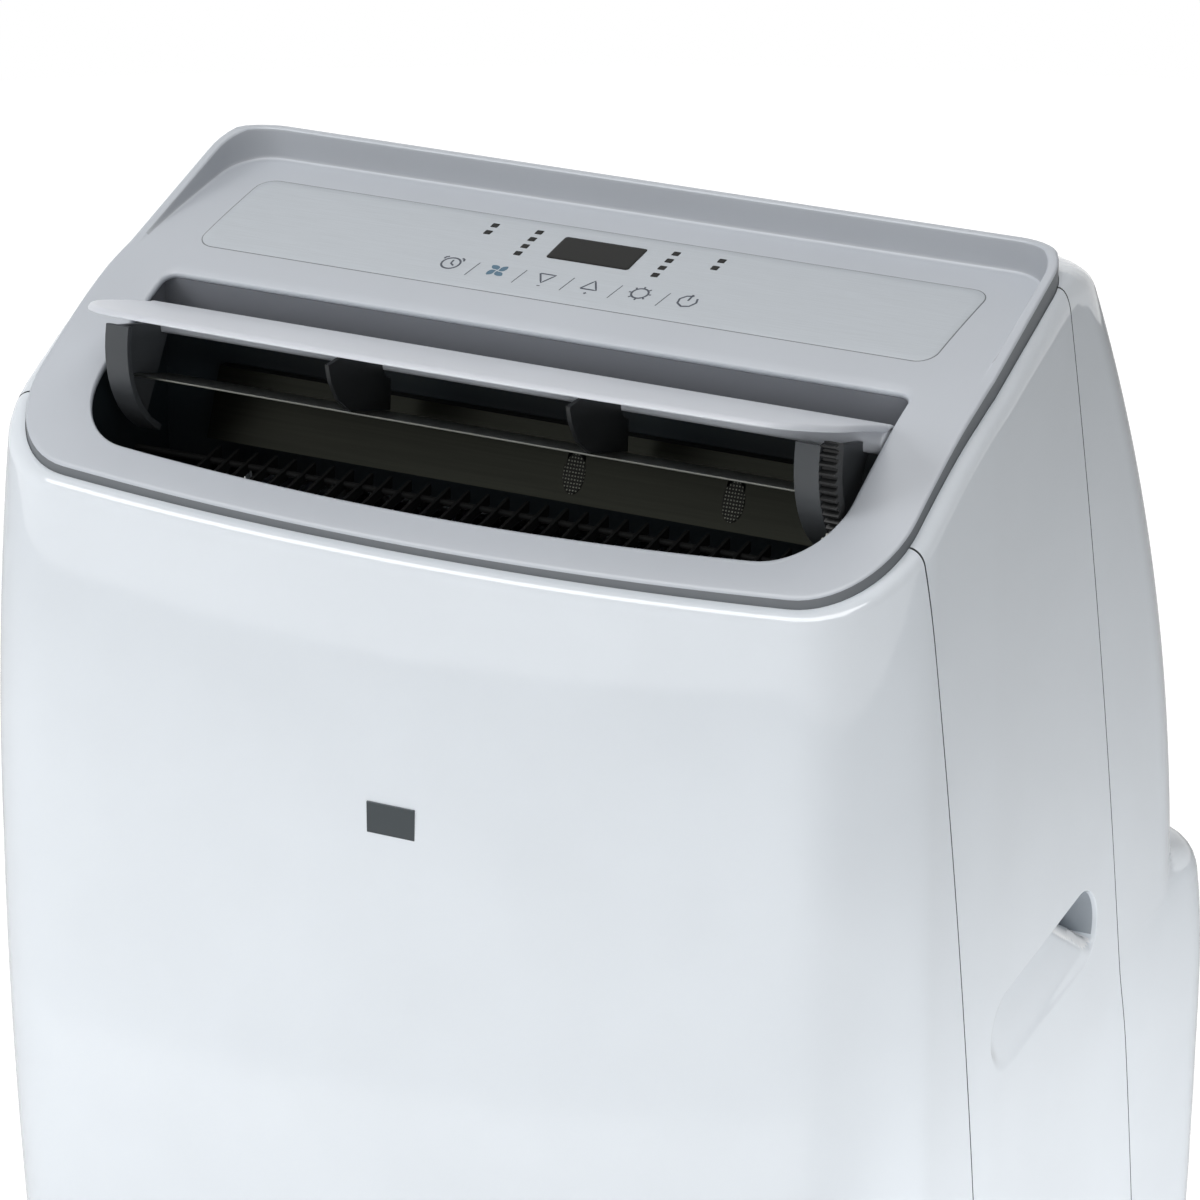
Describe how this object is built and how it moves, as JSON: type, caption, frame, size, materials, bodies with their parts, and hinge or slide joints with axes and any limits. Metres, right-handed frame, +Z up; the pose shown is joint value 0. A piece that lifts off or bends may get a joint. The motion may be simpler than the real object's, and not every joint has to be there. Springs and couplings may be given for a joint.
{
  "type": "portable air conditioner",
  "caption": "White portable air conditioner on casters with a grey sloping deck, motorised outlet flap, touch panel, side handles and a round rear exhaust outlet",
  "frame": {"origin": "on the floor under the middle of the cabinet's box", "axes": "+Z up, -Y towards the front panel and outlet flap, +X towards the right side panel; +Y out of the rear exhaust outlet"},
  "size_m": [0.4668, 0.397, 0.765],
  "materials": {
    "white_panel": "moulded white styrene, lightly glossy",
    "grey_deck": "satin grey moulding",
    "silver_overlay": "printed film with a fine brushed grain",
    "smoked_display": "smoked clear acrylic",
    "silver_flap": "satin silver-grey moulding",
    "grey_plastic": "moulded grey plastic",
    "dark_plastic": "moulded dark grey plastic",
    "black_plastic": "moulded black plastic",
    "white_nylon": "natural acetal",
    "white_foam": "moulded foam",
    "circuit_board": "solder-masked board",
    "brushed_badge": "dark brushed metal plate",
    "galvanised_steel": "galvanised sheet",
    "dark_steel": "dark coated sheet",
    "steel_wire": "woven stainless wire",
    "aluminium_fins": "pressed aluminium fins",
    "aluminium_can": "drawn aluminium can",
    "copper_pipe": "drawn copper tube",
    "black_enamel": "black stoved enamel",
    "black_rubber": "moulded rubber",
    "zinc_screws": "zinc-plated steel",
    "filter_net": "woven nylon net",
    "caster_tread": "hard rubber-like tread"
  },
  "bodies": {
    "cabinet": {"base_pan": "dark_plastic", "chassis_frame": "galvanised_steel", "front_panel": "white_panel", "left_side_panel": "white_panel", "right_side_panel": "white_panel", "rear_cover": "white_panel", "top_deck": "grey_deck", "control_overlay": "silver_overlay", "display_window": "smoked_display", "indicator_lenses": "smoked_display", "control_board": "circuit_board", "display_module": "black_plastic", "badge_plate": "brushed_badge", "outlet_duct": "grey_plastic", "liner_plate": "dark_steel", "mesh_patches": "steel_wire", "outlet_guard": "black_plastic", "flap_motor": "galvanised_steel", "evaporator_coil": "aluminium_fins", "evaporator_scroll": "white_foam", "evaporator_motor": "galvanised_steel", "partition_tray": "white_foam", "condenser_coil": "aluminium_fins", "condenser_scroll": "grey_plastic", "condenser_motor": "galvanised_steel", "exhaust_elbow": "grey_plastic", "exhaust_collar": "grey_plastic", "compressor": "black_enamel", "accumulator": "black_enamel", "compressor_feet": "black_rubber", "compressor_bolts": "zinc_screws", "refrigerant_pipes": "copper_pipe", "control_box": "galvanised_steel", "run_capacitor": "aluminium_can", "drain_ports": "grey_plastic", "cord_inlet": "black_rubber", "panel_screws": "zinc_screws"},
    "flap": {"flap_plate": "silver_flap", "left_flap_arm": "grey_plastic", "right_flap_arm": "grey_plastic", "flap_ribs": "grey_plastic", "flap_vane": "grey_plastic", "flap_rack": "grey_plastic"},
    "pinion": {"flap_pinion": "white_nylon"},
    "evaporator_fan": {"evaporator_wheel": "grey_plastic"},
    "condenser_fan": {"condenser_wheel": "black_plastic"},
    "upper_filter": {"upper_filter_frame": "white_panel", "upper_filter_mesh": "filter_net"},
    "lower_filter": {"lower_filter_frame": "white_panel", "lower_filter_mesh": "filter_net"},
    "upper_plug": {"upper_drain_plug": "black_rubber"},
    "lower_plug": {"lower_drain_plug": "black_rubber"},
    "fork_front_left": {"caster_fork_front_left": "black_plastic"},
    "wheel_front_left": {"caster_wheel_front_left": "caster_tread"},
    "fork_front_right": {"caster_fork_front_right": "black_plastic"},
    "wheel_front_right": {"caster_wheel_front_right": "caster_tread"},
    "fork_rear_left": {"caster_fork_rear_left": "black_plastic"},
    "wheel_rear_left": {"caster_wheel_rear_left": "caster_tread"},
    "fork_rear_right": {"caster_fork_rear_right": "black_plastic"},
    "wheel_rear_right": {"caster_wheel_rear_right": "caster_tread"}
  },
  "joints": [
    {"name": "flap_hinge", "type": "hinge", "parent": "cabinet", "child": "flap", "pos_m": [0, -0.0925, 0.706], "axis": [1, 0, 0], "range_deg": [0, 48]},
    {"name": "pinion_spin", "type": "hinge", "parent": "cabinet", "child": "pinion", "pos_m": [0.182, -0.13655, 0.66904], "axis": [1, 0, 0], "range_deg": [-330, 10]},
    {"name": "evaporator_fan_spin", "type": "hinge", "parent": "cabinet", "child": "evaporator_fan", "pos_m": [0, -0.1445, 0.53], "axis": [0, 1, 0], "continuous": true},
    {"name": "condenser_fan_spin", "type": "hinge", "parent": "cabinet", "child": "condenser_fan", "pos_m": [0.062, 0.0035, 0.17], "axis": [0, 1, 0], "continuous": true},
    {"name": "upper_filter_pull", "type": "slide", "parent": "cabinet", "child": "upper_filter", "axis": [0, 1, 0], "range_m": [0, 0.06]},
    {"name": "lower_filter_pull", "type": "slide", "parent": "cabinet", "child": "lower_filter", "axis": [0, 1, 0], "range_m": [0, 0.06]},
    {"name": "upper_plug_pull", "type": "slide", "parent": "cabinet", "child": "upper_plug", "axis": [0, 1, 0], "range_m": [0, 0.03]},
    {"name": "lower_plug_pull", "type": "slide", "parent": "cabinet", "child": "lower_plug", "axis": [0, 1, 0], "range_m": [0, 0.03]},
    {"name": "swivel_front_left", "type": "hinge", "parent": "cabinet", "child": "fork_front_left", "pos_m": [-0.165, -0.1405, 0.061], "axis": [0, 0, 1], "continuous": true},
    {"name": "roll_front_left", "type": "hinge", "parent": "fork_front_left", "child": "wheel_front_left", "pos_m": [-0.165, -0.1285, 0.02], "axis": [1, 0, 0], "continuous": true},
    {"name": "swivel_front_right", "type": "hinge", "parent": "cabinet", "child": "fork_front_right", "pos_m": [0.165, -0.1405, 0.061], "axis": [0, 0, 1], "continuous": true},
    {"name": "roll_front_right", "type": "hinge", "parent": "fork_front_right", "child": "wheel_front_right", "pos_m": [0.165, -0.1285, 0.02], "axis": [1, 0, 0], "continuous": true},
    {"name": "swivel_rear_left", "type": "hinge", "parent": "cabinet", "child": "fork_rear_left", "pos_m": [-0.165, 0.1365, 0.061], "axis": [0, 0, 1], "continuous": true},
    {"name": "roll_rear_left", "type": "hinge", "parent": "fork_rear_left", "child": "wheel_rear_left", "pos_m": [-0.165, 0.1485, 0.02], "axis": [1, 0, 0], "continuous": true},
    {"name": "swivel_rear_right", "type": "hinge", "parent": "cabinet", "child": "fork_rear_right", "pos_m": [0.165, 0.1365, 0.061], "axis": [0, 0, 1], "continuous": true},
    {"name": "roll_rear_right", "type": "hinge", "parent": "fork_rear_right", "child": "wheel_rear_right", "pos_m": [0.165, 0.1485, 0.02], "axis": [1, 0, 0], "continuous": true}
  ],
  "couplings": [
    {"joint": "pinion_spin", "follows": "flap_hinge", "ratio": -6.6667}
  ]
}
